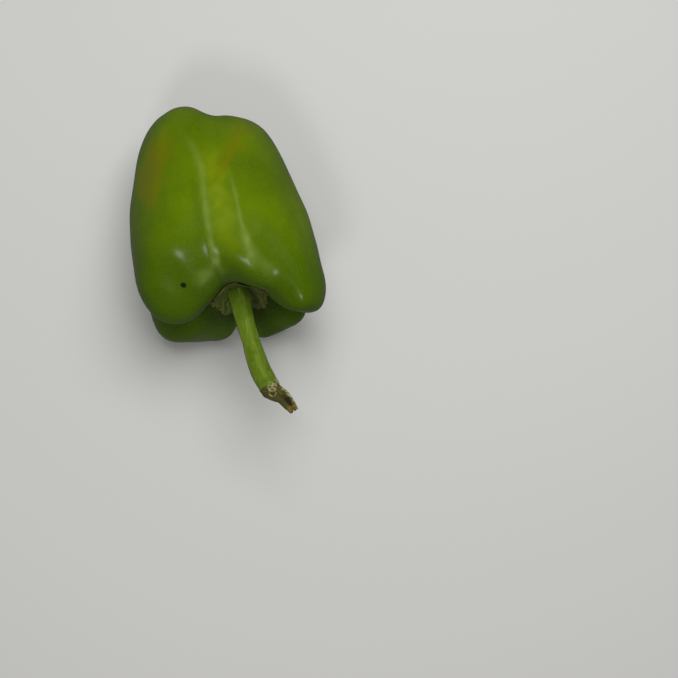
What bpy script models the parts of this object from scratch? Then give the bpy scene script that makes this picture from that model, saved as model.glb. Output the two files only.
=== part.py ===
"""A green bell pepper as picked, lying on its side.

The fruit is one grown piece. In the hollow of its stem end sits the calyx, out of the calyx grows the stalk,
and the stalk ends in the dry stub where it tore off the plant. Run it with blender --background --python
part.py, or from Blender's text editor.

Every shape is first worked out upright, in the pepper's own frame: its origin is in the hollow at the stem
end, +Z runs along the core towards the stalk, and +Y will face up. An empty then lays all of them down: the
stalk points to -Y, and the fruit rests on small flat spots at Z = 0.
"""

import math

import bmesh
import bpy
import numpy as np
from mathutils import Matrix

MM = 0.001

# How the pepper lies: its core rises towards the stalk, it is rolled a little about its core,
# and its own origin stands at this place above the surface.
CORE_RISE = math.radians(10.7)
CORE_ROLL = math.radians(2.1)
CORE_PLACE = (2.87 * MM, -13.25 * MM, 41.98 * MM)

# The fruit's outline along the middle of a lobe and along a furrow, as (radius, height) control points in
# millimetres: from the hollow at the stalk, over the shoulder, down the side, to the blossom end's dimple.
LOBE_LINE = (
    (0, -2), (6, -2), (11, 1), (15.5, 7), (21, 12.5), (28, 15), (35, 12), (39.5, 4), (41.5, -7),
    (41.5, -19), (40, -31), (37.5, -43), (34, -54.5), (30, -65.5), (24.5, -74.5), (17.5, -79),
    (10.5, -79), (5, -75.5), (0, -74),
)
FURROW_LINE = (
    (0, -2), (6, -2), (11, -1), (15, 0.5), (19.5, 1.2), (24.5, 0), (29, -3), (33, -8), (35.5, -15),
    (36.5, -24), (36, -35), (34, -46), (30.5, -56.5), (26.5, -67), (21, -75), (14.5, -78.5),
    (8.5, -77.5), (4, -74.5), (0, -74),
)
# Furrows lie in these directions from +X towards +Y. Each lobe stands between one furrow and the next.
FURROWS = tuple(math.radians(a) for a in (79.0, 187.0, 262.0, 344.0))
FURROW_SOFTNESS = (0.6, 0.7, 0.3, 0.3)  # 0 would leave a sharp crease, 1 is a wide round valley
FURROW_RISE = (14.5, 8.0, 23.0, 14.0)  # in millimetres, how far its notch in the shoulder is filled
# Flatness over 1 widens a valley's floor at the shoulder, and is given in each of these directions.
FLATNESS_TOWARDS = tuple(math.radians(a) for a in (70.0, 112.0, 187.0, 262.0, 344.0))
VALLEY_FLATNESS = (7.5, 2.5, 1.0, 1.0, 1.0)
FLATNESS_BELOW = 0.24  # how much of that is left down the side
SHOULDER_SHARE = (0.3, 0.5)  # the shoulder turns into the side between these shares of the outline
LOBE_BREADTH = 1.6  # 1 gives each lobe a cosine's shape, more gives it a broader top
# Each lobe's own size: its share of the outline's radius, and in millimetres how much further out its
# shoulder swells, and how much further down its tip reaches.
LOBE_SIZE = (0.985, 1.035, 0.948, 0.985)
LOBE_SWELL = (0.5, 7.0, 0.0, 3.5)
LOBE_REACH = (4.3, 0.0, 0.0, -4.5)
# How much higher the shoulder stands, in millimetres, in each of these directions.
RISE_TOWARDS = tuple(math.radians(a) for a in (31.5, 118.0, 153.0, 224.5, 303.0))
SHOULDER_RISE = (5.5, -26.0, 4.0, -2.5, 3.0)
FRUIT_RADIUS = 40 * MM
SHOULDER_DEPTH = 40 * MM  # a lobe's own shoulder fades out this far below the hollow's floor
TIP_START, TIP_END = 35 * MM, 78 * MM  # and its own tip grows between these depths
LEAN = -3.5 * MM  # the widest part stands this far along X from the core
FRUIT_SEGMENTS, FRUIT_RINGS = 64, 40

GAP = 0.3 * MM  # left between pieces that touch

# The calyx lies on the hollow's skin. A low round collar in its middle carries the stalk.
CALYX_REACH = 0.15  # its rim, as a share of the fruit's outline
CALYX_TEETH = 6
CALYX_TOOTH = 0.012  # how far its teeth reach past the bays between them, in the same share
CALYX_THICKNESS = 1.2 * MM
COLLAR_RADIUS, COLLAR_HEIGHT = 5.6 * MM, 0.5 * MM
CALYX_SEGMENTS, CALYX_RINGS = 48, 24

# The middle lines of the stalk and of the stub as (x, y, z), and their radii along them, in millimetres.
# The stalk starts just above the calyx's collar, and the stub just past the stalk's end.
STALK_START = LOBE_LINE[0][1] + (2 * GAP + CALYX_THICKNESS + COLLAR_HEIGHT) / MM
STALK_ROUTE = (
    (-0.9, 0, STALK_START), (-0.9, 0, 7), (-0.9, -0.2, 14), (-0.2, -0.5, 22), (0.3, -1, 32),
    (1.8, -1.2, 39.5), (3.6, -1.2, 44),
)
STALK_RADII = (5.1, 4.5, 4.1, 3.9, 4.5, 4.7, 4.4)
STALK_FLUTES, STALK_FLUTE_DEPTH = 5, 0.06
STUB_ROUTE = (
    (3.8, -1.2, 44.6), (4.4, -1.2, 46.1), (6.4, -1.2, 47.5), (8.4, -1.3, 49.4), (9.8, -1.6, 52.5),
    (11.4, -2.2, 56.2),
)
STUB_RADII = (4.4, 3.9, 3.3, 3.0, 2.6, 2.0)

SKIN_GREEN, CALYX_GREEN, STALK_GREEN, DRY_BROWN = "546d00", "39470e", "5f7623", "5c5a2c"


def mirrored_spline(points, share):
    """A uniform cubic B-spline at shares 0 to 1 of its length. Its ends mirror across the core, so a
    turned surface closes smoothly there. Each row of the result is (radius, height)."""
    p = np.array(points, float) * MM
    p = np.vstack([p[1] * (-1, 1), p, p[-2] * (-1, 1)])
    at = np.clip(share, 0, 1) * (len(points) - 1)
    i = np.minimum(at.astype(int), len(points) - 2)
    f = (at - i)[..., None]
    weights = ((1 - f) ** 3, 3 * f**3 - 6 * f**2 + 4, -3 * f**3 + 3 * f**2 + 3 * f + 1, f**3)
    return sum(w * p[i + k] for k, w in enumerate(weights)) / 6


def round_blend(angle, directions, values):
    """Takes each value in its own direction about the core, and goes smoothly from one to the next."""
    near = np.exp(5 * np.cos(np.asarray(angle, float)[..., None] - np.array(directions)))
    return near @ np.array(values, float) / near.sum(axis=-1)


def furrow_phase(angle):
    """Grows by half a turn from each furrow to the next: twice the angle, with the slow waves added that
    carry the furrows to their own directions."""

    def waves(a):
        return np.stack([np.ones_like(a), np.cos(a), np.sin(a), np.cos(2 * a)], axis=-1)

    furrows = np.array(FURROWS)
    turns = len(furrows) / 2
    sizes = np.linalg.solve(waves(furrows), np.arange(len(furrows)) * math.pi - turns * furrows)
    return turns * angle + waves(np.asarray(angle, float)) @ sizes


def lobe_share(angle, share):
    """1 along the middle of a lobe and 0 along a furrow, with a rounded crease."""
    softness = round_blend(angle, FURROWS, FURROW_SOFTNESS)
    crease = np.sqrt(np.sin(furrow_phase(angle)) ** 2 + softness**2) - softness
    crease = crease / (np.sqrt(1 + softness**2) - softness)
    start, end = SHOULDER_SHARE
    below = np.clip((share - start) / (end - start), 0, 1)
    kept = 1 - (1 - FLATNESS_BELOW) * below * below * (3 - 2 * below)
    flatness = 1 + (round_blend(angle, FLATNESS_TOWARDS, VALLEY_FLATNESS) - 1) * kept
    return 1 - (1 - crease**flatness) ** LOBE_BREADTH


def by_lobe(angle, values):
    """Each lobe's own value, taken in the middle between its furrows and blended round the core."""
    ends = np.array(FURROWS[1:] + (FURROWS[0] + 2 * math.pi,))
    return round_blend(angle, (np.array(FURROWS) + ends) / 2, values)


def fruit_surface(angle, share):
    """The fruit's skin at angles about the core and shares of the outline."""
    lobe, furrow = mirrored_spline(LOBE_LINE, share), mirrored_spline(FURROW_LINE, share)
    on_lobe = lobe_share(angle, share)
    r, z = np.moveaxis(furrow + on_lobe[..., None] * (lobe - furrow), -1, 0)
    out = (r / FRUIT_RADIUS) ** 2
    shoulder = out * np.clip(1 + z / SHOULDER_DEPTH, 0, None) ** 2
    tip = np.clip((-z - TIP_START) / (TIP_END - TIP_START), 0, 1) ** 2 * r**2 / (r**2 + (8 * MM) ** 2)
    rise = round_blend(angle, RISE_TOWARDS, SHOULDER_RISE)
    rise = rise + (1 - on_lobe) * round_blend(angle, FURROWS, FURROW_RISE)
    z = z + (rise * shoulder - by_lobe(angle, LOBE_REACH) * tip) * MM
    r = r * (1 + (by_lobe(angle, LOBE_SIZE) - 1) * out) + by_lobe(angle, LOBE_SWELL) * shoulder * MM
    return np.stack([r * np.cos(angle) + LEAN * out, r * np.sin(angle), z], axis=-1)


def skin_normal(angle, share, step=0.001):
    """Points out of the fruit's skin. On the core itself it is taken one step away."""
    share = np.maximum(share, 2 * step)
    across = fruit_surface(angle + step, share) - fruit_surface(angle - step, share)
    along = fruit_surface(angle, share + step) - fruit_surface(angle, share - step)
    normal = np.cross(along, across)
    return normal / np.linalg.norm(normal, axis=-1, keepdims=True)


def calyx_surface(angle, share):
    """The calyx follows the hollow's skin out to its toothed rim and comes back beneath itself, the gap
    away from the skin."""
    on_top = share <= 0.5
    rim = CALYX_REACH + CALYX_TOOTH * np.cos(CALYX_TEETH * angle)
    run = np.sin(share * math.pi)
    under = fruit_surface(angle, run * rim)
    from_core = np.linalg.norm(under[..., :2], axis=-1)
    collar = COLLAR_HEIGHT / (1 + np.exp((from_core - COLLAR_RADIUS) / (0.5 * MM)))
    thickness = CALYX_THICKNESS * np.sqrt(np.clip(1 - run**4, 0, 1)) + collar
    height = GAP + np.where(on_top, thickness, 0)
    return under + skin_normal(angle, run * rim) * height[..., None]


def route_line(route, count):
    """Points of a smooth line through the ends of a short route, drawn in by its inner points."""
    p = np.array(route, float) * MM
    p = np.vstack([2 * p[0] - p[1], p, 2 * p[-1] - p[-2]])
    at = np.linspace(0, len(route) - 1, count)
    i = np.minimum(at.astype(int), len(route) - 2)
    f = (at - i)[:, None]
    weights = ((1 - f) ** 3, 3 * f**3 - 6 * f**2 + 4, -3 * f**3 + 3 * f**2 + 3 * f + 1, f**3)
    return sum(w * p[i + k] for k, w in enumerate(weights)) / 6


def remove_all():
    for obj in list(bpy.data.objects):
        bpy.data.objects.remove(obj)


def collection(name):
    group = bpy.data.collections.new(name)
    bpy.context.scene.collection.children.link(group)
    return group


def linear(hex_colour):
    srgb = [int(hex_colour[i : i + 2], 16) / 255 for i in (0, 2, 4)]
    return [c / 12.92 if c <= 0.04045 else ((c + 0.055) / 1.055) ** 2.4 for c in srgb] + [1.0]


def material(name, hex_colour, roughness):
    mat = bpy.data.materials.new(name)
    mat.use_nodes = True
    shader = mat.node_tree.nodes["Principled BSDF"]
    shader.inputs["Base Color"].default_value = linear(hex_colour)
    shader.inputs["Roughness"].default_value = roughness
    shader.inputs["Metallic"].default_value = 0.0
    return mat


def place_object(name, data, mat, group, core):
    data.materials.append(mat)
    obj = bpy.data.objects.new(name, data)
    group.objects.link(obj)
    obj.parent = core
    return obj


def globe(name, segments, rings, surface):
    """A UV sphere whose points are moved to surface(angle, share). Share runs from 0 at the top pole to 1
    at the bottom one."""
    mesh = bpy.data.meshes.new(name)
    bm = bmesh.new()
    bmesh.ops.create_uvsphere(bm, u_segments=segments, v_segments=rings, radius=1.0)
    bm.to_mesh(mesh)
    bm.free()
    ball = np.empty(len(mesh.vertices) * 3, np.float32)
    mesh.vertices.foreach_get("co", ball)
    x, y, z = ball.reshape(-1, 3).T.astype(float)
    points = surface(np.arctan2(y, x), np.arccos(np.clip(z, -1, 1)) / math.pi)
    mesh.vertices.foreach_set("co", points.astype(np.float32).ravel())
    mesh.shade_smooth()
    mesh.update()
    return mesh


def fluted_outline(angle):
    """A round stem with soft flutes along it."""
    return 1 - STALK_FLUTE_DEPTH * (1 - math.cos(STALK_FLUTES * angle)) / 2


def torn_outline(angle):
    """Wide across, thin upwards, and a little uneven."""
    return 0.8 - 0.2 * math.cos(2 * angle) + 0.06 * math.sin(5 * angle)


def section(name, sides, outline, group):
    """A closed flat curve of radius 1 that a limb is drawn with."""
    curve = bpy.data.curves.new(name, "CURVE")
    spline = curve.splines.new("POLY")
    spline.points.add(sides - 1)
    spline.use_cyclic_u = True
    for point, angle in zip(spline.points, -np.arange(sides) * 2 * math.pi / sides):
        radius = outline(angle)
        point.co = (radius * math.cos(angle), radius * math.sin(angle), 0, 1)
    obj = bpy.data.objects.new(name, curve)
    obj.hide_render = True
    obj.display_type = "WIRE"
    group.objects.link(obj)
    return obj


def limb(name, route, radii, profile, count):
    """A stem along a route, as thick as its radii, with the profile's cross-section and closed ends."""
    curve = bpy.data.curves.new(name, "CURVE")
    curve.dimensions = "3D"
    curve.bevel_mode = "OBJECT"
    curve.bevel_object = profile
    curve.use_fill_caps = True
    spline = curve.splines.new("POLY")
    spline.points.add(count - 1)
    spline.use_smooth = True
    widths = np.interp(np.linspace(0, len(radii) - 1, count), np.arange(len(radii)), radii) * MM
    for point, place, width in zip(spline.points, route_line(route, count), widths):
        point.co = (*place, 1)
        point.radius = width
    return curve


def floor_cutter(group):
    """A block whose top face is the surface that the pepper lies on."""
    mesh = bpy.data.meshes.new("floor_cutter")
    bm = bmesh.new()
    bmesh.ops.create_cube(bm, size=1.0, matrix=Matrix.Translation((0, 0, -0.5)))
    bm.to_mesh(mesh)
    bm.free()
    cutter = bpy.data.objects.new("floor_cutter", mesh)
    cutter.hide_render = True
    cutter.display_type = "WIRE"
    group.objects.link(cutter)
    return cutter


def main():
    remove_all()
    pepper = collection("bell_pepper")
    guides = collection("cutters_and_guides")
    core = bpy.data.objects.new("core", None)
    pepper.objects.link(core)
    core.location = CORE_PLACE
    core.rotation_euler = (
        Matrix.Rotation(math.pi / 2 - CORE_RISE, 3, "X") @ Matrix.Rotation(CORE_ROLL, 3, "Z")
    ).to_euler()

    skin = globe("fruit", FRUIT_SEGMENTS, FRUIT_RINGS, fruit_surface)
    fruit = place_object("fruit", skin, material("waxy_skin", SKIN_GREEN, 0.3), pepper, core)
    flats = fruit.modifiers.new("rest_flats", "BOOLEAN")
    flats.operation = "DIFFERENCE"
    flats.object = floor_cutter(guides)

    leaf = globe("calyx", CALYX_SEGMENTS, CALYX_RINGS, calyx_surface)
    place_object("calyx", leaf, material("calyx_skin", CALYX_GREEN, 0.7), pepper, core)

    round_section = section("stalk_section", 20, fluted_outline, guides)
    stem = limb("stalk", STALK_ROUTE, STALK_RADII, round_section, 19)
    place_object("stalk", stem, material("stalk_skin", STALK_GREEN, 0.55), pepper, core)

    flat_section = section("stub_section", 16, torn_outline, guides)
    end = limb("stub", STUB_ROUTE, STUB_RADII, flat_section, 9)
    place_object("stub", end, material("dry_bark", DRY_BROWN, 0.9), pepper, core)


main()
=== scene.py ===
# %% [markdown]
# # A green bell pepper, lying on its side
# The pepper is built upright in its own frame and then laid down. Its own frame has its origin in the
# middle of the hollow under the calyx, +Z along the core towards the stalk, and +Y facing up once it lies.
# Lengths in that frame are in millimetres, because that is how one would measure a pepper; the last step
# turns them to metres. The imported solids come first, as they fix the place and the size of everything.

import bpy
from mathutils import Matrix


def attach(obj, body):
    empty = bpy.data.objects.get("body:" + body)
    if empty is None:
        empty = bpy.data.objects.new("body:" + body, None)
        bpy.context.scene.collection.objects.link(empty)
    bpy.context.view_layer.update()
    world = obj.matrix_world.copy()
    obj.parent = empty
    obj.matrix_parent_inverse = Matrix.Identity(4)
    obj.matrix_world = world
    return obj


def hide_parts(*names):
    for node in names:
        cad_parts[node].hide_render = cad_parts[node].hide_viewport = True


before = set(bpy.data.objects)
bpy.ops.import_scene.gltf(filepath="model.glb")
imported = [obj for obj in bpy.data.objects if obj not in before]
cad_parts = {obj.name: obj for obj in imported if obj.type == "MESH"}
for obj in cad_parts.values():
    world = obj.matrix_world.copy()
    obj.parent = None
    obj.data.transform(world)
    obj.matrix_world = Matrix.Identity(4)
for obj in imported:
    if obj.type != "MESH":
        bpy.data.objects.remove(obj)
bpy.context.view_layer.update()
print("solids:", ", ".join(sorted(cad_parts)))

# %% [markdown]
# ## Tools used all the way through
# Every piece below is a surface worked out on a grid of two parameters. One runs round the piece and closes
# on itself, the other runs from one end to the other, where the grid shrinks to a point. So one function
# can turn any such grid into a mesh, and it can store extra numbers on the points, which the materials read
# as attributes.

# %% From a grid of points to a mesh
import math

import bpy
import numpy as np
from mathutils import Matrix, Vector

CORE_RISE = math.radians(10.7)
CORE_ROLL = math.radians(2.1)
CORE_PLACE = np.array([2.87, -13.25, 41.98])
CORE_TURN = np.array(Matrix.Rotation(math.pi / 2 - CORE_RISE, 3, "X") @ Matrix.Rotation(CORE_ROLL, 3, "Z"))


def lay_down(points):
    """Own frame to world: turned by the core's rise and roll, moved to its place, millimetres to metres."""
    return (points @ CORE_TURN.T + CORE_PLACE) / 1000


def parameter_grid(shares, columns):
    """The given shares down the rows, and even angles once round along the columns."""
    return np.meshgrid(shares, np.arange(columns) * 2 * math.pi / columns, indexing="ij")


def grid_object(name, points, attributes, floor=None):
    """points[row, column] closes along its columns; its first and last rows are each a single point. An
    attribute has a number for each point. Nothing goes below the floor, so what touches it lies flat."""
    world = lay_down(points)
    if floor is not None:
        world[..., 2] = np.maximum(world[..., 2], floor)
    rows, columns = points.shape[:2]
    inner = world[1:-1].reshape(-1, 3)
    vertices = np.vstack([world[0].mean(axis=0), inner, world[-1].mean(axis=0)])
    ring = np.arange(columns)
    after = np.roll(ring, -1)
    start = 1 + np.arange(rows - 3)[:, None] * columns
    quads = np.stack([start + ring, start + after, start + columns + after, start + columns + ring], axis=-1)
    last = len(vertices) - 1
    tail = 1 + (rows - 3) * columns
    first_fan = np.stack([np.zeros_like(ring), 1 + after, 1 + ring], axis=-1)
    last_fan = np.stack([np.full_like(ring, last), tail + ring, tail + after], axis=-1)
    faces = [*first_fan.tolist(), *quads.reshape(-1, 4)[:, ::-1].tolist(), *last_fan.tolist()]
    mesh = bpy.data.meshes.new(name)
    mesh.from_pydata(vertices.tolist(), [], faces)
    for key, values in attributes.items():
        flat = np.concatenate([[values[0].mean()], values[1:-1].ravel(), [values[-1].mean()]])
        mesh.attributes.new(key, "FLOAT", "POINT").data.foreach_set("value", flat.astype(np.float32))
    mesh.shade_smooth()
    obj = bpy.data.objects.new(name, mesh)
    bpy.context.scene.collection.objects.link(obj)
    print(name, "has", len(quads.reshape(-1, 4)) * 2 + 2 * columns, "triangles")
    return obj


# %% [markdown]
# Two more tools: a smooth curve through a short list of points, and a gentle random unevenness. The curve
# is a uniform cubic B-spline, which has no kinks, so highlights run over it without a break. The unevenness
# is a sum of plane waves in seeded random directions, all of one wavelength.

# %% Smooth curves and gentle unevenness
def spline(points, share, mirrored=False):
    """Uniform cubic B-spline at shares 0 to 1. It starts and ends at its end points, or, mirrored, it meets
    the core at a right angle there, so that the surface turned from it is round at its poles."""
    p = np.array(points, float)
    if mirrored:
        p = np.vstack([p[1] * (-1, 1), p, p[-2] * (-1, 1)])
    else:
        p = np.vstack([2 * p[0] - p[1], p, 2 * p[-1] - p[-2]])
    at = np.clip(share, 0, 1) * (len(points) - 1)
    i = np.minimum(at.astype(int), len(points) - 2)
    f = (at - i)[..., None]
    weights = ((1 - f) ** 3, 3 * f**3 - 6 * f**2 + 4, -3 * f**3 + 3 * f**2 + 3 * f + 1, f**3)
    return sum(w * p[i + k] for k, w in enumerate(weights)) / 6


def unevenness(points, wavelength, seed, count=12):
    """Sum of waves cos(2 pi p.d / wavelength + phase), divided so that it mostly stays between -1 and 1."""
    random = np.random.default_rng(seed)
    directions = random.normal(size=(count, 3))
    directions /= np.linalg.norm(directions, axis=1, keepdims=True)
    phases = random.uniform(0, 2 * math.pi, count)
    waves = np.cos(2 * math.pi / wavelength * points @ directions.T + phases)
    return waves.sum(axis=-1) / math.sqrt(count)


def ripple(angle, low, high, seed):
    """Unevenness round the core: eight whole waves with seeded phases, low to high of them to a turn."""
    random = np.random.default_rng(seed)
    counts, phases = random.integers(low, high, 8), random.uniform(0, 2 * math.pi, 8)
    return np.cos(angle[..., None] * counts + phases).sum(axis=-1) / math.sqrt(8)


def bell(distance, width):
    """1 at distance 0, fading to 0 over about two widths."""
    return np.exp(-((distance / width) ** 2))


def fade(value, start, end):
    """0 at start, 1 at end and smooth between."""
    t = np.clip((value - start) / (end - start), 0, 1)
    return t * t * (3 - 2 * t)


# %% [markdown]
# ## The fruit
# A pepper is a turned body whose outline changes on the way round: along the middle of a lobe it bulges,
# and along a furrow it draws in. It could be sculpted, or subdivided from a rough cage, but then every lobe
# would be shaped by hand. Here the fruit is two outlines, blended by how far round a lobe one is, so a few
# values say it all. Four furrows at uneven directions part four lobes, and each lobe has its own size,
# shoulder and tip. This is the same form that the solid has.

# %% The fruit's form
# A line's points are (radius, height), from the middle of the hollow over the shoulder to the blossom end.
LOBE_LINE = (
    (0, -2), (6, -2), (11, 1), (15.5, 7), (21, 12.5), (28, 15), (35, 12), (39.5, 4), (41.5, -7),
    (41.5, -19), (40, -31), (37.5, -43), (34, -54.5), (30, -65.5), (24.5, -74.5), (17.5, -79),
    (10.5, -79), (5, -75.5), (0, -74),
)
FURROW_LINE = (
    (0, -2), (6, -2), (11, -1), (15, 0.5), (19.5, 1.2), (24.5, 0), (29, -3), (33, -8), (35.5, -15),
    (36.5, -24), (36, -35), (34, -46), (30.5, -56.5), (26.5, -67), (21, -75), (14.5, -78.5),
    (8.5, -77.5), (4, -74.5), (0, -74),
)
# Directions go round the core from its own +X. Each list of values has one for each furrow or direction.
FURROWS = np.radians([79.0, 187.0, 262.0, 344.0])
FURROW_SOFTNESS = (0.6, 0.7, 0.3, 0.3)
FURROW_RISE = (14.5, 8.0, 23.0, 14.0)
FLATNESS_TOWARDS = np.radians([70.0, 112.0, 187.0, 262.0, 344.0])
VALLEY_FLATNESS = (7.5, 2.5, 1.0, 1.0, 1.0)
FLATNESS_BELOW, SHOULDER_SHARE = 0.24, (0.3, 0.5)
LOBE_BREADTH = 1.6
LOBE_SIZE = (0.985, 1.035, 0.948, 0.985)
LOBE_SWELL = (0.5, 7.0, 0.0, 3.5)
LOBE_REACH = (4.3, 0.0, 0.0, -4.5)
RISE_TOWARDS = np.radians([31.5, 118.0, 153.0, 224.5, 303.0])
SHOULDER_RISE = (5.5, -26.0, 4.0, -2.5, 3.0)
FRUIT_RADIUS, SHOULDER_DEPTH, LEAN = 40.0, 40.0, -3.5
TIP_START, TIP_END, TIP_CORE = 35.0, 78.0, 8.0
LOBES = (FURROWS + np.append(FURROWS[1:], FURROWS[0] + 2 * math.pi)) / 2


def round_blend(angle, directions, values):
    """Blends values round the core, each strongest in its own direction. The weights are
    exp(5 cos(angle - direction))."""
    near = np.exp(5 * np.cos(angle[..., None] - directions))
    return near @ np.array(values) / near.sum(axis=-1)


def furrow_phase(angle):
    """Twice the angle plus slow waves, sized so that it grows by exactly half a turn between furrows."""
    def waves(a):
        return np.stack([np.ones_like(a), np.cos(a), np.sin(a), np.cos(2 * a)], axis=-1)
    sizes = np.linalg.solve(waves(FURROWS), np.arange(4) * math.pi - 2 * FURROWS)
    return 2 * angle + waves(angle) @ sizes


def lobe_share(angle, share):
    """1 along the middle of a lobe, 0 along a furrow: the sine of the phase, smooth where it turns sign. A
    power widens a valley's floor, mostly at the shoulder."""
    soft = round_blend(angle, FURROWS, FURROW_SOFTNESS)
    crease = (np.sqrt(np.sin(furrow_phase(angle)) ** 2 + soft**2) - soft) / (np.sqrt(1 + soft**2) - soft)
    kept = 1 - (1 - FLATNESS_BELOW) * fade(share, *SHOULDER_SHARE)
    flatness = 1 + (round_blend(angle, FLATNESS_TOWARDS, VALLEY_FLATNESS) - 1) * kept
    return 1 - (1 - crease**flatness) ** LOBE_BREADTH


def fruit_form(angle, share):
    """The blended outline, stretched a little by each lobe's own size, swell and reach, then turned. The
    shoulder rises and sinks on the way round, and a furrow's own rise fills its notch in it."""
    lobe, furrow = spline(LOBE_LINE, share, mirrored=True), spline(FURROW_LINE, share, mirrored=True)
    on_lobe = lobe_share(angle, share)
    r, z = np.moveaxis(furrow + on_lobe[..., None] * (lobe - furrow), -1, 0)
    out = (r / FRUIT_RADIUS) ** 2
    shoulder = out * np.clip(1 + z / SHOULDER_DEPTH, 0, None) ** 2
    tip = np.clip((-z - TIP_START) / (TIP_END - TIP_START), 0, 1) ** 2 * r**2 / (r**2 + TIP_CORE**2)
    rise = round_blend(angle, RISE_TOWARDS, SHOULDER_RISE)
    rise = rise + (1 - on_lobe) * round_blend(angle, FURROWS, FURROW_RISE)
    z = z + rise * shoulder - round_blend(angle, LOBES, LOBE_REACH) * tip
    size, swell = round_blend(angle, LOBES, LOBE_SIZE), round_blend(angle, LOBES, LOBE_SWELL)
    r = r * (1 + (size - 1) * out) + swell * shoulder
    return np.stack([r * np.cos(angle) + LEAN * out, r * np.sin(angle), z], axis=-1)


def outward(form, angle, share, step=0.0015):
    """Unit normals, as the cross product of the two small steps over the form."""
    share = np.clip(share, 2 * step, 1 - 2 * step)
    across = form(angle + step, share) - form(angle - step, share)
    along = form(angle, share + step) - form(angle, share - step)
    normal = np.cross(along, across)
    return normal / np.linalg.norm(normal, axis=-1, keepdims=True)


# %% [markdown]
# Onto that form go the small things that make it a real one. Two soft ridges run along the near valley,
# where the wall is stiffened by the ribs inside, and they turn off over the shoulders. The wall between
# them sags a little, and slow dents make the highlights wander. They could be left to a bump pattern, but
# real heights bend the outline too. So each is a height in millimetres along the normal. The ridges are
# drawn as lines on the side that faces up.

# %% The fruit's relief and its marks
# Each point of a line is (x, z, half width, strength).
LEFT_RIDGE = (
    (-8.5, -69, 1.8, 0.0), (-3.4, -57, 1.6, 0.25), (-1.5, -47, 1.4, 0.6), (-2.1, -39, 1.2, 0.7),
    (-3.2, -28, 1.3, 0.8), (-3.8, -17.5, 1.2, 0.85), (-4.0, -9.7, 1.4, 1.0), (-3.9, -5.5, 1.6, 0.9),
    (-2.2, -1.2, 1.6, 0.0),
)
RIGHT_RIDGE = (
    (9.2, -44, 0.9, 0.0), (9.8, -37, 0.7, 0.4), (10.1, -29, 0.7, 0.7), (9.9, -20, 0.9, 0.7),
    (10.5, -12, 1.6, 0.85), (10.6, -6, 2.4, 0.85), (9.6, 0.5, 2.6, 0.0),
)
# The two shoulder lines are low ridges too, and like the ridges they are paler, partly as painted highlight.
LEFT_SHOULDER = (
    (-4.3, -6.5, 1.4, 0.5), (-8.3, -3.8, 2.0, 0.75), (-12.4, -2.4, 2.4, 0.65), (-17, -1.2, 2.8, 0.0),
)
RIGHT_SHOULDER = ((11.5, -7, 2.8, 0.2), (15.7, 0, 2.8, 0.5), (19, 4.5, 3.2, 0.0))
RIDGES = (LEFT_RIDGE, RIGHT_RIDGE, LEFT_SHOULDER, RIGHT_SHOULDER)
RIDGE_HEIGHT = 0.32
# Painted shade: a darker band on the slope to the left of the left ridge.
SHADE_BESIDE_RIDGE = ((-5.5, -50, 1.8, 0.0), (-5.6, -39, 2.2, 0.8), (-6.8, -22, 2.4, 1.0), (-8.2, -10, 2.6, 0.0))
# The valley line sags the wall between the ridges, and the same line makes that wall paler as painted light.
VALLEY = ((2.5, -60, 5.0, 0.0), (3.7, -44, 4.5, 1.0), (3.2, -20, 4.5, 0.9), (3.2, -4, 4.5, 0.0))
VALLEY_DEPTH = 0.45
DENT_HEIGHT, DENT_LENGTH = 0.35, 34.0
BUMP_HEIGHT, BUMP_LENGTH = 0.1, 15.0
WAVE_HEIGHT, WAVE_BREADTH, WAVE_STRETCH = 0.05, 7.0, 0.15
SINK = 0.1


def along_line(points, line):
    """How far points lie from a line in x and z, in half widths, and its strength at the nearest place."""
    flat = points[..., [0, 2]]
    distance, strength = np.full(flat.shape[:-1], np.inf), np.zeros(flat.shape[:-1])
    for start, end in zip(np.array(line[:-1]), np.array(line[1:])):
        run = end - start
        t = np.clip((flat - start[:2]) @ run[:2] / (run[:2] @ run[:2]), 0, 1)
        nearest = start + t[..., None] * run
        here = np.linalg.norm(flat - nearest[..., :2], axis=-1) / nearest[..., 2]
        strength = np.where(here < distance, nearest[..., 3], strength)
        distance = np.minimum(distance, here)
    return distance, strength


def drawn(points, line):
    """A soft line on the side that faces up: the bell of the distance, times the strength. Both waver."""
    distance, strength = along_line(points, line)
    strength = strength * fade(points[..., 1], 8, 20)
    wavering = distance + 0.2 * unevenness(points, 8, seed=6) + 0.1 * unevenness(points, 3, seed=10)
    return strength * (0.85 + 0.15 * unevenness(points, 5, seed=11)) * bell(wavering, 1.0)


def fruit_relief(points, share):
    """Height in mm: ridges, less the sagging wall between them, plus slow dents, small bumps and long faint
    waves down the sides. The sides also sink a little, so that the skin stays inside the solid's box."""
    height = RIDGE_HEIGHT * sum(drawn(points, line) for line in RIDGES) - VALLEY_DEPTH * drawn(points, VALLEY)
    body = fade(share, 0.12, 0.3) * (1 - fade(share, 0.9, 1.0))
    dents = DENT_HEIGHT * unevenness(points, DENT_LENGTH, seed=3)
    bumps = BUMP_HEIGHT * unevenness(points, BUMP_LENGTH, seed=4)
    waves = WAVE_HEIGHT * unevenness(points * (1, 1, WAVE_STRETCH), WAVE_BREADTH, seed=5)
    return height + body * (dents + bumps + waves - SINK)


FRUIT_ROWS, FRUIT_COLUMNS = 262, 368
share, angle = parameter_grid(np.linspace(0, 1, FRUIT_ROWS), FRUIT_COLUMNS)


def fruit_skin(angle, share):
    """The form with its relief."""
    form = fruit_form(angle, share)
    return form + outward(fruit_form, angle, share) * fruit_relief(form, share)[..., None]


skin = fruit_skin(angle, share)
print("the fruit measures", np.ptp(skin.reshape(-1, 3), axis=0).round(1), "mm in its own frame")
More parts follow.
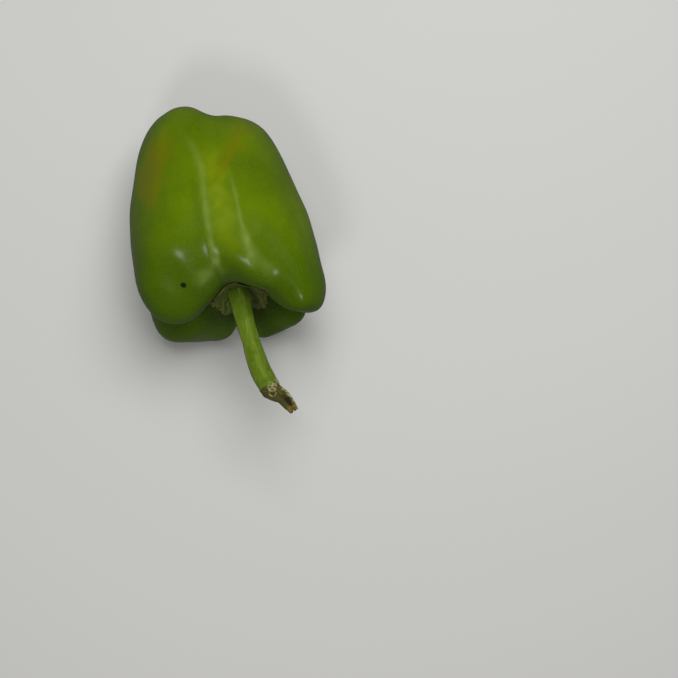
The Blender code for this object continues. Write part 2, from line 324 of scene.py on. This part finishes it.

# %% [markdown]
# Part of the colour is the skin's own: ripening shows first as olive patches near the blossom end. The rest
# is
# painted light and shade: the furrows are painted darker on the lower side, the hollow darker in its recess,
# the skin darker towards the shoulders, sooner on the left, and the slope beside the left ridge darker still.
# The sagging wall between the ridges is made paler and yellower as painted light. The ridges are paler,
# partly where the wax is thick and partly as painted highlight. All these could be painted into an image,
# but a formula follows the form when it changes. They go on the mesh as attributes between 0 and 1. One small
# black speck sits on the left shoulder. It is finer than the mesh, so only its place is worked out here,
# and the material draws it.

# %% The fruit's colour marks
RIPE_PATCHES = (
    (
        (-15, -64, 5.0, 0.5), (-19, -60, 6.5, 0.8), (-22.5, -54, 6.5, 1.0), (-25, -47, 6.0, 1.0),
        (-25, -38, 4.0, 0.6),
    ),
    ((17, -64, 4.5, 0.4), (14, -55, 4.0, 0.8), (9.3, -49, 3.4, 0.7), (5, -43, 2.6, 0.4)),
)
SPECK, SPECK_RADIUS = (-19.9, -1.6), 1.35
FLOWER_SCAR_RADIUS = 2.2


def ripe_share(points):
    """Each patch is a broad line that fades out down the pepper's side. Its edge is soft and roughened at
    two scales, as it spreads cell by cell."""
    total = np.zeros(points.shape[:-1])
    rough = 0.28 * unevenness(points, 11, seed=7) + 0.12 * unevenness(points * (1, 1, 0.6), 3, seed=12)
    for patch in RIPE_PATCHES:
        distance, strength = along_line(points, patch)
        total += strength * (1 - fade(distance + rough, 0.2, 1.5))
    return np.clip(total, 0, 1) * fade(points[..., 1] + 4 * unevenness(points, 14, seed=14), -6, 16)


def speck_place(points):
    """The world place of the skin's point nearest to the speck's x and z, on the side that faces up."""
    away = np.hypot(points[..., 0] - SPECK[0], points[..., 2] - SPECK[1]) + 100 * (points[..., 1] < 0)
    return lay_down(points[np.unravel_index(away.argmin(), away.shape)])


def flower_scar(points):
    """The small corky dot in the blossom end's dimple, where the flower sat."""
    from_core = np.hypot(points[..., 0], points[..., 1]) + 0.25 * unevenness(points, 3, seed=9)
    return (1 - fade(from_core, 0.5 * FLOWER_SCAR_RADIUS, FLOWER_SCAR_RADIUS)) * (points[..., 2] < -60)


# Painted shade falls on the lower side, the one that faces the floor.
shade_low_down = 1 - fade(skin[..., 1], -25, 25)
# Painted shade towards the shoulders starts further down the side on the left.
shade_start = -40 + 22 * fade(skin[..., 0], -6, 12)
marks = {
    # The ridges are paler, partly as thicker wax and partly as painted highlight.
    "ridge_wax_and_highlight": np.clip(sum(drawn(skin, line) for line in RIDGES), 0, 1),
    # Painted shade beside the left ridge.
    "beside_shade": np.clip(drawn(skin, SHADE_BESIDE_RIDGE), 0, 1),
    # Painted light: the wall between the ridges is paler and yellower.
    "lit_valley": np.clip(drawn(skin, VALLEY), 0, 1),
    "ripe": ripe_share(skin),
    "scar": flower_scar(skin),
    # Painted shade: the furrows are darker on the lower side.
    "furrow": (1 - lobe_share(angle, share)) * fade(share, 0.1, 0.3) * shade_low_down,
    # Painted shade: the hollow's walls under the calyx are darker.
    "hollow_shade": 1 - fade(share, 0.16, 0.25),
    # Painted shade: the skin is darker towards the shoulders.
    "shoulder": fade(skin[..., 2] + 3 * unevenness(skin, 30, seed=13), shade_start, 6),
}
fruit = grid_object("fruit_skin", skin, marks, floor=0.0)
print("the speck is at", speck_place(skin).round(4))

# %% [markdown]
# ## The calyx
# The calyx is what is left of the flower: a thin disc that clings to the hollow's floor and walls, with a
# toothed and drying rim that curls up here and there. It could be cut from a flat sheet and pressed on, but
# worked out over the same hollow it fits at once. Its grid goes from the stalk outwards on top, round the
# rim and back underneath. Uneven wrinkles radiate from the stalk.

# %% The calyx
GAP = 0.3
CALYX_REACH, CALYX_TEETH, CALYX_TOOTH, CALYX_THICKNESS = 0.15, 6, 0.012, 1.2
COLLAR_RADIUS, COLLAR_HEIGHT, CALYX_CURL = 5.6, 0.5, 0.6
CALYX_ROWS, CALYX_COLUMNS = 160, 480


def calyx_skin(angle, share):
    """Follows the fruit's skin out to the rim and back, lifted along its normal by a wrinkled thickness
    that thins to the rim, with a round collar in the middle. Also gives the wrinkles' height and how near
    the rim a point is."""
    run = np.sin(share * math.pi)
    rim = CALYX_REACH + CALYX_TOOTH * (np.cos(CALYX_TEETH * angle) + 0.22 * ripple(angle, 9, 60, seed=21))
    base = fruit_form(angle, run * rim)
    from_core = np.linalg.norm(base[..., :2], axis=-1)
    collar = COLLAR_HEIGHT / (1 + np.exp((from_core - COLLAR_RADIUS) / 0.5))
    turned = angle + 0.08 * unevenness(base, 5, seed=22)
    wrinkles = 0.7 * ripple(turned, 14, 40, seed=23) + 0.5 * ripple(turned, 50, 110, seed=24)
    lumps = 0.15 * unevenness(base, 3, seed=25)
    thickness = 0.85 * CALYX_THICKNESS + (0.16 * wrinkles + lumps) * fade(from_core, 4.5, 8)
    curl = CALYX_CURL * fade(run, 0.8, 1) * fade(ripple(angle, 4, 12, seed=26), -0.3, 1.2)
    lift = np.where(share <= 0.5, thickness * np.sqrt(np.clip(1 - run**4, 0, 1)) + collar, 0.0)
    normal = outward(fruit_form, angle, np.maximum(run * rim, 0.004))
    return base + normal * (lift + curl + 0.6 * GAP)[..., None], wrinkles, run


share, angle = parameter_grid(np.linspace(0, 1, CALYX_ROWS), CALYX_COLUMNS)
points, wrinkles, run = calyx_skin(angle, share)
ragged_run = run + 0.06 * ripple(angle, 7, 30, seed=27) + 0.05 * ripple(angle, 40, 90, seed=28)
marks = {
    "dry": fade(ragged_run, 0.89, 1.02),
    # Painted shade: the wrinkles' folds are darker and their crests paler.
    "fibre_and_fold_shade": np.clip(0.5 + 0.3 * wrinkles, 0, 1),
}
calyx = grid_object("calyx_skin", points, marks)

# %% [markdown]
# ## A section carried along a line
# The stalk and the dry stub at its end are long and bent. A curve with a bevel could make them, but its
# section would stay the same all along. So one function carries a section along a smooth line and asks for
# its radius at every angle and every place on the way.

# %% A section carried along a line
def carry(route, rows, end_rows, radius, columns):
    """Points centre + radius (cos a side + sin a up) along the route, with side and up square to it. Up
    stays as near the pepper's own +Y as it can. Rows at each end draw in to the middle and close it."""
    along = np.concatenate([np.zeros(end_rows), np.linspace(0, 1, rows), np.ones(end_rows)])
    opening = np.linspace(0, 1, end_rows, endpoint=False)
    closing = np.concatenate([opening, np.ones(rows), opening[::-1]])
    closing = np.sqrt(1 - (1 - closing) ** 2)
    along, angle = parameter_grid(along, columns)
    centre = spline(route, along[:, 0])
    before, after = np.clip(along[:, 0] - 0.01, 0, 1), np.clip(along[:, 0] + 0.01, 0, 1)
    tangent = spline(route, after) - spline(route, before)
    tangent /= np.linalg.norm(tangent, axis=1, keepdims=True)
    side = np.cross((0, 1, 0), tangent)
    side /= np.linalg.norm(side, axis=1, keepdims=True)
    up = np.cross(tangent, side)
    reach = radius(angle, along) * closing[:, None]
    across = (reach * np.cos(angle))[..., None] * side[:, None]
    upward = (reach * np.sin(angle))[..., None] * up[:, None]
    return centre[:, None] + across + upward, angle, along, tangent


# %% [markdown]
# ## The stalk
# The stalk's section has five soft flutes, one for each vein that went into the flower, and fine lengthwise
# lines. Its radius changes along the way: it flares into the calyx, is thinnest halfway out and swells
# again towards the end.

# %% The stalk
STALK_START = LOBE_LINE[0][1] + 2 * GAP + CALYX_THICKNESS + COLLAR_HEIGHT
STALK_ROUTE = (
    (-0.9, 0, STALK_START - 0.6), (-0.9, 0, 7), (-0.9, -0.2, 14), (-0.2, -0.5, 22), (0.3, -1, 32),
    (1.8, -1.2, 39.5), (3.6, -1.2, 44),
)
STALK_RADII = (5.1, 4.5, 4.1, 3.9, 4.5, 4.7, 4.4)
STALK_FLUTES, STALK_FLUTE_DEPTH = 5, 0.06
STALK_ROWS, STALK_COLUMNS, END_ROWS = 300, 180, 8


def stalk_radius(angle, along):
    """Radius along the way, less five flutes, with fine lengthwise lines and slow swellings."""
    radius = np.interp(along * (len(STALK_RADII) - 1), np.arange(len(STALK_RADII)), STALK_RADII)
    flutes = STALK_FLUTE_DEPTH * (1 - np.cos(STALK_FLUTES * angle)) / 2
    lines = 0.008 * ripple(angle + 0.1 * np.sin(7 * along), 12, 60, seed=31)
    knots = 0.014 * np.sin(23 * along + 2 * angle) * np.sin(3 * angle + 11 * along)
    return radius * (1 - flutes + lines + knots)


points, angle, along, _ = carry(STALK_ROUTE, STALK_ROWS, END_ROWS, stalk_radius, STALK_COLUMNS)
on_rib = np.cos(STALK_FLUTES * angle + 0.5 * np.sin(5 * along))
marks = {
    "along": along,
    "vein": fade(on_rib + 0.3 * ripple(angle, 9, 40, seed=32), 0.3, 1.3),
    "dry": fade(along + 0.012 * ripple(angle, 5, 30, seed=33), 0.95, 0.99) * fade(-np.cos(angle), -0.5, 0.6),
}
stalk = grid_object("stalk_skin", points, marks)

# %% [markdown]
# ## The stub
# Where the stalk tore off the plant it ends in dry bark: a ragged collar round the stalk's end, a small
# round scar, and a flat splinter that bends away. It is one more section carried along a line, round at the
# collar and flat towards the tip, with fibres along it and a tip whose length changes from fibre to fibre.

# %% The stub
STUB_ROUTE = (
    (3.3, -1.2, 43.4), (4.2, -1.2, 45.8), (6.4, -1.2, 47.5), (8.4, -1.3, 49.4), (9.8, -1.6, 52.5),
    (11.4, -2.2, 56.2),
)
STUB_RADII = (4.5, 4.0, 3.4, 3.0, 2.6, 2.0)
STUB_ROWS, STUB_COLUMNS = 170, 200
SCAR, SCAR_RADIUS = (4.4, 46.9), 1.3
DARK_PATCH = ((8.4, 49.4, 1.0, 0.5), (10.0, 51.2, 1.4, 1.0), (10.8, 53.0, 1.1, 0.9))


def stub_radius(angle, along):
    """Round at the collar, then wide across and thin upwards. Lumps fade and fibres deepen outwards."""
    radius = np.interp(along * (len(STUB_RADII) - 1), np.arange(len(STUB_RADII)), STUB_RADII)
    collar = 1 - fade(along, 0.06, 0.3)
    section = 0.8 + 0.2 * np.cos(2 * angle)
    section += (1.0 - section) * collar
    lumps = 0.07 * collar * ripple(angle + 4 * along, 3, 14, seed=41)
    fibres = 0.06 * (0.3 + along) * ripple(angle + 0.5 * np.sin(6 * along), 7, 30, seed=42)
    return radius * (section + lumps + fibres)


points, angle, along, tangent = carry(STUB_ROUTE, STUB_ROWS, END_ROWS, stub_radius, STUB_COLUMNS)
ragged = 0.6 * (1 - fade(along, 0.0, 0.12)) * ripple(angle, 6, 26, seed=43)
torn = fade(along, 0.75, 1.0) * np.minimum(ripple(angle, 4, 26, seed=44) - 1.0, 0)
points += (ragged + torn)[..., None] * tangent[:, None]
upper = points[..., 1] > spline(STUB_ROUTE, along)[..., 1] + 0.5
from_scar = np.hypot(points[..., 0] - SCAR[0], points[..., 2] - SCAR[1])
from_scar += 0.15 * unevenness(points, 2, seed=47)
ring = bell(from_scar / SCAR_RADIUS - 1, 0.3) * upper
pit = bell(from_scar / SCAR_RADIUS, 0.6) * upper
points[..., 1] += 0.3 * ring - 0.35 * pit
distance, strength = along_line(points, DARK_PATCH)
edges = fade(np.cos(angle), 0.55, 1.0) * fade(along, 0.25, 0.45) * (1 - fade(along, 0.75, 0.95))
torn_skin = (1 - fade(along, 0.16, 0.36)) * fade(np.cos(angle), -0.7, 0.3)
patchy = fade(unevenness(points, 1.6, seed=45), -0.6, 0.8)
sap = strength * bell(distance + 0.2 * unevenness(points, 1.5, seed=48), 1.0) * upper
marks = {
    "fibre_and_fold_shade": np.clip(0.5 + 0.4 * ripple(angle + 0.5 * np.sin(6 * along), 12, 40, seed=46), 0, 1),
    "dark": np.clip(sap + 0.4 * pit, 0, 1),
    "pale": np.clip(ring + 0.9 * edges + torn_skin, 0, 1) * (0.3 + 0.7 * patchy),
    "tip": fade(along + 0.04 * ripple(angle, 4, 26, seed=49), 0.78, 0.95),
}
stub = grid_object("stub_bark", points, marks)

# %% [markdown]
# ## Which solid each piece stands for
# Nothing on a pepper moves, so every piece rides on the one body. Each new piece replaces its plain solid.

# %% Ride and replace
for piece, node, finish in (
    (fruit, "fruit", "waxy_skin"),
    (calyx, "calyx", "calyx_skin"),
    (stalk, "stalk", "stalk_skin"),
    (stub, "stub", "dry_bark"),
):
    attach(piece, "root")
    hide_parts(node)
    print(piece.name, "stands for", node)

# %% [markdown]
# ## Finishes
# Each finish is a Principled shader fed by small patterns. An image could carry the colours, but noise and
# the marks on the mesh need no file and stay sharp at any size. Colours are given as they look on a screen,
# in sRGB hex, and one function makes them linear. Patterns are given by the size of their grains in
# millimetres, and heights of bumps in metres, as the shader takes them. A third function adds any node,
# with its settings and its links.

# %% Colours and nodes
def linear(hex_colour):
    """sRGB hex to linear RGBA, by the sRGB curve."""
    srgb = [int(hex_colour[i : i + 2], 16) / 255 for i in (0, 2, 4)]
    return [c / 12.92 if c <= 0.04045 else ((c + 0.055) / 1.055) ** 2.4 for c in srgb] + [1.0]


def grains(millimetres):
    """The noise scale for grains of that size: how many to a metre, as Object coordinates are in metres."""
    return 1000 / millimetres


def add_node(tree, kind, inputs=None, **settings):
    """A node of that kind with its settings. inputs maps a socket's name or number to a value or to a
    socket that is linked to it."""
    node = tree.nodes.new(kind)
    for key, value in settings.items():
        setattr(node, key, value)
    for key, value in (inputs or {}).items():
        if isinstance(value, bpy.types.NodeSocket):
            tree.links.new(value, node.inputs[key])
        else:
            node.inputs[key].default_value = value
    return node


def new_finish(name):
    """An empty material with its shader, as (material, node tree, shader)."""
    finish = bpy.data.materials.new(name)
    finish.use_nodes = True
    return finish, finish.node_tree, finish.node_tree.nodes["Principled BSDF"]


# Mix nodes have a socket of each name for each kind of data; these numbers are the ones for colour.
MIX_SHARE, MIX_A, MIX_B, MIX_RESULT = 0, 6, 7, 2

# %% [markdown]
# ### Waxy pepper skin
# A pepper's skin is a smooth cuticle with a layer of wax over green flesh. It is glossy, but not like a
# mirror: the wax spreads the light a little. The green is mottled in clouds of about two centimetres and
# finely stippled below a millimetre.

# %% Waxy skin
CLOUD_SIZE, STIPPLE_SIZE, CRUMB_SIZE = 22.2, 0.667, 1.25
STIPPLE_HEIGHT = 0.0001

finish, tree, shader = new_finish("waxy_pepper_skin")
place = add_node(tree, "ShaderNodeTexCoord").outputs["Object"]
cloudy = add_node(
    tree, "ShaderNodeTexNoise",
    {"Vector": place, "Scale": grains(CLOUD_SIZE), "Detail": 4.0, "Roughness": 0.6},
)
stipple = add_node(
    tree, "ShaderNodeTexNoise", {"Vector": place, "Scale": grains(STIPPLE_SIZE), "Detail": 2.0}
)
cloud_share = add_node(
    tree, "ShaderNodeMapRange", {"Value": cloudy.outputs["Fac"], "From Min": 0.35, "From Max": 0.68}
)
colour = add_node(
    tree, "ShaderNodeMix",
    {MIX_SHARE: cloud_share.outputs[0], MIX_A: linear("526c00"), MIX_B: linear("627d00")}, data_type="RGBA",
).outputs[MIX_RESULT]
# Painted shade: the shoulders, the lower furrows, the hollow and the slope beside the left ridge are darker.
# Painted light: the valley between the ridges is paler. The ridges are paler partly as wax and partly as
# painted highlight. The ripe patches and the flower scar are the skin's own colour.
for key, strength, tint in (
    ("shoulder", 0.78, "3e5b00"),
    ("furrow", 0.30, "3f5a00"),
    ("hollow_shade", 0.90, "263c04"),
    ("beside_shade", 0.5, "456000"),
    ("lit_valley", 0.48, "8ea008"),
    ("ripe", 0.85, "727200"),
    ("ridge_wax_and_highlight", 0.46, "94a856"),
    ("scar", 0.85, "6e6038"),
):
    mark = add_node(tree, "ShaderNodeAttribute", attribute_name=key)
    amount = add_node(tree, "ShaderNodeMath", {0: mark.outputs["Fac"], 1: strength}, operation="MULTIPLY")
    colour = add_node(
        tree, "ShaderNodeMix", {MIX_SHARE: amount.outputs[0], MIX_A: colour, MIX_B: linear(tint)},
        data_type="RGBA",
    ).outputs[MIX_RESULT]
dots = add_node(
    tree, "ShaderNodeMapRange",
    {"Value": stipple.outputs["Fac"], "From Min": 0.45, "From Max": 0.75, "To Max": 0.16},
)
colour = add_node(
    tree, "ShaderNodeMix", {MIX_SHARE: dots.outputs[0], MIX_A: colour, MIX_B: linear("869a1c")},
    data_type="RGBA",
).outputs[MIX_RESULT]
centre = tuple(speck_place(skin))
from_speck = add_node(tree, "ShaderNodeVectorMath", {0: place, 1: centre}, operation="DISTANCE")
crumbs = add_node(tree, "ShaderNodeTexNoise", {"Vector": place, "Scale": grains(CRUMB_SIZE), "Detail": 3.0})
crumbled = {0: crumbs.outputs["Fac"], 1: SPECK_RADIUS / 1000, 2: from_speck.outputs["Value"]}
ragged = add_node(tree, "ShaderNodeMath", crumbled, operation="MULTIPLY_ADD").outputs[0]
edge = {"Value": ragged, "From Min": 1.2 * SPECK_RADIUS / 1000, "From Max": 1.6 * SPECK_RADIUS / 1000}
speck = add_node(tree, "ShaderNodeMapRange", {**edge, "To Min": 0.95, "To Max": 0.0})
colour = add_node(
    tree, "ShaderNodeMix", {MIX_SHARE: speck.outputs[0], MIX_A: colour, MIX_B: linear("14120c")},
    data_type="RGBA",
).outputs[MIX_RESULT]
tree.links.new(colour, shader.inputs["Base Color"])
gloss = add_node(tree, "ShaderNodeMapRange", {"Value": cloudy.outputs["Fac"], "To Min": 0.17, "To Max": 0.3})
tree.links.new(gloss.outputs[0], shader.inputs["Roughness"])
stippled = {"Strength": 0.12, "Distance": STIPPLE_HEIGHT, "Height": stipple.outputs["Fac"]}
bump = add_node(tree, "ShaderNodeBump", stippled)
tree.links.new(bump.outputs["Normal"], shader.inputs["Normal"])
shader.inputs["IOR"].default_value = 1.44
shader.inputs["Specular IOR Level"].default_value = 0.32
fruit.data.materials.append(finish)

# %% [markdown]
# ### Drying calyx
# The calyx is a green leaf that has begun to dry: matt and leathery, olive near the stalk and dull brown at
# its rim. Its wrinkles are geometry; the colour follows them as painted shade, darker in their folds and
# paler on their crests, and a fine grain breaks it up.

# %% Drying calyx
LEAF_GRAIN, LEAF_ROUGHNESS_HEIGHT = 1.43, 0.0002

finish, tree, shader = new_finish("drying_calyx")
place = add_node(tree, "ShaderNodeTexCoord").outputs["Object"]
grain = add_node(tree, "ShaderNodeTexNoise", {"Vector": place, "Scale": grains(LEAF_GRAIN), "Detail": 4.0})
fibre_and_fold_shade = add_node(tree, "ShaderNodeAttribute", attribute_name="fibre_and_fold_shade")
# Painted shade from the wrinkles: darker in the folds, paler on the crests.
colour = add_node(
    tree, "ShaderNodeMix",
    {MIX_SHARE: fibre_and_fold_shade.outputs["Fac"], MIX_A: linear("3e4e0a"), MIX_B: linear("74803a")}, data_type="RGBA",
).outputs[MIX_RESULT]
dry = add_node(tree, "ShaderNodeAttribute", attribute_name="dry")
for source, low, high, strength, tint in (
    (grain.outputs["Fac"], 0.42, 0.7, 0.6, "34420e"),
    (dry.outputs["Fac"], 0.0, 1.0, 0.75, "6a5f32"),
):
    layer = {"Value": source, "From Min": low, "From Max": high, "To Max": strength}
    amount = add_node(tree, "ShaderNodeMapRange", layer)
    colour = add_node(
        tree, "ShaderNodeMix", {MIX_SHARE: amount.outputs[0], MIX_A: colour, MIX_B: linear(tint)},
        data_type="RGBA",
    ).outputs[MIX_RESULT]
tree.links.new(colour, shader.inputs["Base Color"])
rough = {"Strength": 0.5, "Distance": LEAF_ROUGHNESS_HEIGHT, "Height": grain.outputs["Fac"]}
bump = add_node(tree, "ShaderNodeBump", rough)
tree.links.new(bump.outputs["Normal"], shader.inputs["Normal"])
shader.inputs["Roughness"].default_value = 0.75
shader.inputs["Specular IOR Level"].default_value = 0.3
calyx.data.materials.append(finish)

# %% [markdown]
# ### Green stalk
# The stalk is a fresh stem whose thin skin has little wax, so its sheen is satin. It is darker at its foot
# and paler along its ribs. Streaks run along it, from a noise stretched that way. It starts to dry where it
# meets the stub.

# %% Green stalk
STREAK_BREADTH, STREAK_STRETCH, STREAK_HEIGHT, MOTTLE_SIZE = 0.909, 0.12, 0.00015, 3.85

finish, tree, shader = new_finish("green_stalk")
place = add_node(tree, "ShaderNodeTexCoord").outputs["Object"]
stretched = add_node(tree, "ShaderNodeMapping", {"Vector": place, "Scale": (1.0, STREAK_STRETCH, 1.0)})
streaks = add_node(
    tree, "ShaderNodeTexNoise",
    {"Vector": stretched.outputs[0], "Scale": grains(STREAK_BREADTH), "Detail": 3.0},
)
mottle = add_node(tree, "ShaderNodeTexNoise", {"Vector": place, "Scale": grains(MOTTLE_SIZE), "Detail": 3.0})
along = add_node(tree, "ShaderNodeAttribute", attribute_name="along")
vein = add_node(tree, "ShaderNodeAttribute", attribute_name="vein")
dry = add_node(tree, "ShaderNodeAttribute", attribute_name="dry")
outward_share = add_node(tree, "ShaderNodeMapRange", {"Value": along.outputs["Fac"], "From Max": 0.35})
colour = add_node(
    tree, "ShaderNodeMix",
    {MIX_SHARE: outward_share.outputs[0], MIX_A: linear("486204"), MIX_B: linear("627b16")}, data_type="RGBA",
).outputs[MIX_RESULT]
for source, low, high, strength, tint in (
    (vein.outputs["Fac"], 0.0, 1.0, 0.4, "84983c"),
    (streaks.outputs["Fac"], 0.5, 0.72, 0.42, "8ca048"),
    (mottle.outputs["Fac"], 0.48, 0.7, 0.6, "4a6404"),
    (dry.outputs["Fac"], 0.0, 1.0, 0.85, "4e4620"),
):
    layer = {"Value": source, "From Min": low, "From Max": high, "To Max": strength}
    amount = add_node(tree, "ShaderNodeMapRange", layer)
    colour = add_node(
        tree, "ShaderNodeMix", {MIX_SHARE: amount.outputs[0], MIX_A: colour, MIX_B: linear(tint)},
        data_type="RGBA",
    ).outputs[MIX_RESULT]
tree.links.new(colour, shader.inputs["Base Color"])
lined = {"Strength": 0.35, "Distance": STREAK_HEIGHT, "Height": streaks.outputs["Fac"]}
bump = add_node(tree, "ShaderNodeBump", lined)
tree.links.new(bump.outputs["Normal"], shader.inputs["Normal"])
shader.inputs["Roughness"].default_value = 0.5
shader.inputs["Specular IOR Level"].default_value = 0.35
stalk.data.materials.append(finish)

# %% [markdown]
# ### Torn bark
# The stub is dead fibre, dried and torn: no gloss at all, pale where the skin is torn, warmer at the tip and
# nearly black where sap has dried.

# %% Torn bark
BARK_GRAIN, BARK_HEIGHT = 1.43, 0.0003

finish, tree, shader = new_finish("dry_torn_bark")
place = add_node(tree, "ShaderNodeTexCoord").outputs["Object"]
grain = add_node(
    tree, "ShaderNodeTexNoise",
    {"Vector": place, "Scale": grains(BARK_GRAIN), "Detail": 5.0, "Roughness": 0.65},
)
fibre_and_fold_shade = add_node(tree, "ShaderNodeAttribute", attribute_name="fibre_and_fold_shade")
dark = add_node(tree, "ShaderNodeAttribute", attribute_name="dark")
pale = add_node(tree, "ShaderNodeAttribute", attribute_name="pale")
tip = add_node(tree, "ShaderNodeAttribute", attribute_name="tip")
colour = add_node(
    tree, "ShaderNodeMix",
    {MIX_SHARE: grain.outputs["Fac"], MIX_A: linear("28240c"), MIX_B: linear("646030")}, data_type="RGBA",
).outputs[MIX_RESULT]
for source, low, high, strength, tint in (
    (fibre_and_fold_shade.outputs["Fac"], 0.55, 1.0, 0.4, "7c7640"),
    (tip.outputs["Fac"], 0.0, 1.0, 0.7, "8e763a"),
    (pale.outputs["Fac"], 0.2, 0.8, 0.85, "b0ab7a"),
    (dark.outputs["Fac"], 0.1, 0.8, 0.85, "221e16"),
):
    layer = {"Value": source, "From Min": low, "From Max": high, "To Max": strength}
    amount = add_node(tree, "ShaderNodeMapRange", layer)
    colour = add_node(
        tree, "ShaderNodeMix", {MIX_SHARE: amount.outputs[0], MIX_A: colour, MIX_B: linear(tint)},
        data_type="RGBA",
    ).outputs[MIX_RESULT]
tree.links.new(colour, shader.inputs["Base Color"])
coarse = {"Strength": 0.7, "Distance": BARK_HEIGHT, "Height": grain.outputs["Fac"]}
bump = add_node(tree, "ShaderNodeBump", coarse)
tree.links.new(bump.outputs["Normal"], shader.inputs["Normal"])
shader.inputs["Roughness"].default_value = 0.9
stub.data.materials.append(finish)

# %% [markdown]
# ## Floor
# The floor is pale, plain and matt. It lies a fifth of a millimetre low, so that the two flat places under
# the pepper don't share its plane. It isn't mirrored in the wax, where it would wash out the sides' green.

# %% Floor
FLOOR_SIDE, FLOOR_HEIGHT = 4.0, -0.0002
mesh = bpy.data.meshes.new("floor")
half = FLOOR_SIDE / 2
corners = [(x, y, FLOOR_HEIGHT) for x, y in ((-half, -half), (half, -half), (half, half), (-half, half))]
mesh.from_pydata(corners, [], [(0, 1, 2, 3)])
floor = bpy.data.objects.new("floor", mesh)
bpy.context.scene.collection.objects.link(floor)
finish, tree, shader = new_finish("pale_floor_paint")
shader.inputs["Base Color"].default_value = linear("dcdcda")
shader.inputs["Roughness"].default_value = 0.8
mesh.materials.append(finish)
floor.visible_glossy = False

# %% [markdown]
# ## Light
# The light is soft and comes from above, as in a room lit from its ceiling. A broad panel gives the shape
# its shading, and isn't mirrored either. The highlights come from a small window, and are as small as it.

# %% Light
PEPPER_MIDDLE = (0, 0, 0.03)
ROOM_STRENGTH = 0.13


def soft_light(name, place, side, power, mirrored=True):
    """A square area light at a place, in metres, that faces the pepper. One that isn't mirrored lights the
    pepper without a bright window on its wax."""
    light = bpy.data.lights.new(name, "AREA")
    light.size = side
    light.energy = power
    obj = bpy.data.objects.new(name, light)
    obj.location = place
    obj.rotation_euler = (Vector(PEPPER_MIDDLE) - Vector(place)).to_track_quat("-Z", "Y").to_euler()
    obj.visible_glossy = mirrored
    bpy.context.scene.collection.objects.link(obj)


soft_light("ceiling_panel", place=(0.22, 0.28, 0.88), side=0.6, power=6.6, mirrored=False)
soft_light("small_window", place=(-0.2, -0.42, 0.8), side=0.2, power=1.2)
world = bpy.data.worlds.new("room")
bpy.context.scene.world = world
world.use_nodes = True
background = world.node_tree.nodes["Background"]
background.inputs["Color"].default_value = linear("f2f0ea")
background.inputs["Strength"].default_value = ROOM_STRENGTH
bpy.context.scene.view_settings.view_transform = "Standard"

# %% [markdown]
# ## Camera
# The camera looks straight down from 60 cm above the hollow, and is turned so that the core leans to the
# left, as in the photograph. Its lens and its place follow from one scale: how many millimetres a pixel is
# at the hollow.

# %% Camera
PHOTO_SIDE = 678
MM_PER_PIXEL = 0.43
HOLLOW_PIXEL = (240.0, 290.5)
CAMERA_ABOVE_HOLLOW = 600.0
CAMERA_TURN = math.radians(-13.0)

camera_data = bpy.data.cameras.new("camera")
camera = bpy.data.objects.new("camera", camera_data)
bpy.context.scene.collection.objects.link(camera)
turn = Matrix.Rotation(CAMERA_TURN, 3, "Z")
off_middle = [(pixel - PHOTO_SIDE / 2) * MM_PER_PIXEL for pixel in HOLLOW_PIXEL]
from_hollow = turn @ Vector((-off_middle[0], off_middle[1], CAMERA_ABOVE_HOLLOW))
camera.location = (Vector(CORE_PLACE.tolist()) + from_hollow) / 1000
camera.rotation_euler = turn.to_euler()
camera_data.sensor_width = 36.0
camera_data.lens = camera_data.sensor_width * CAMERA_ABOVE_HOLLOW / (PHOTO_SIDE * MM_PER_PIXEL)
bpy.context.scene.camera = camera
print("lens", round(camera_data.lens, 1), "mm, camera at", [round(v, 3) for v in camera.location])
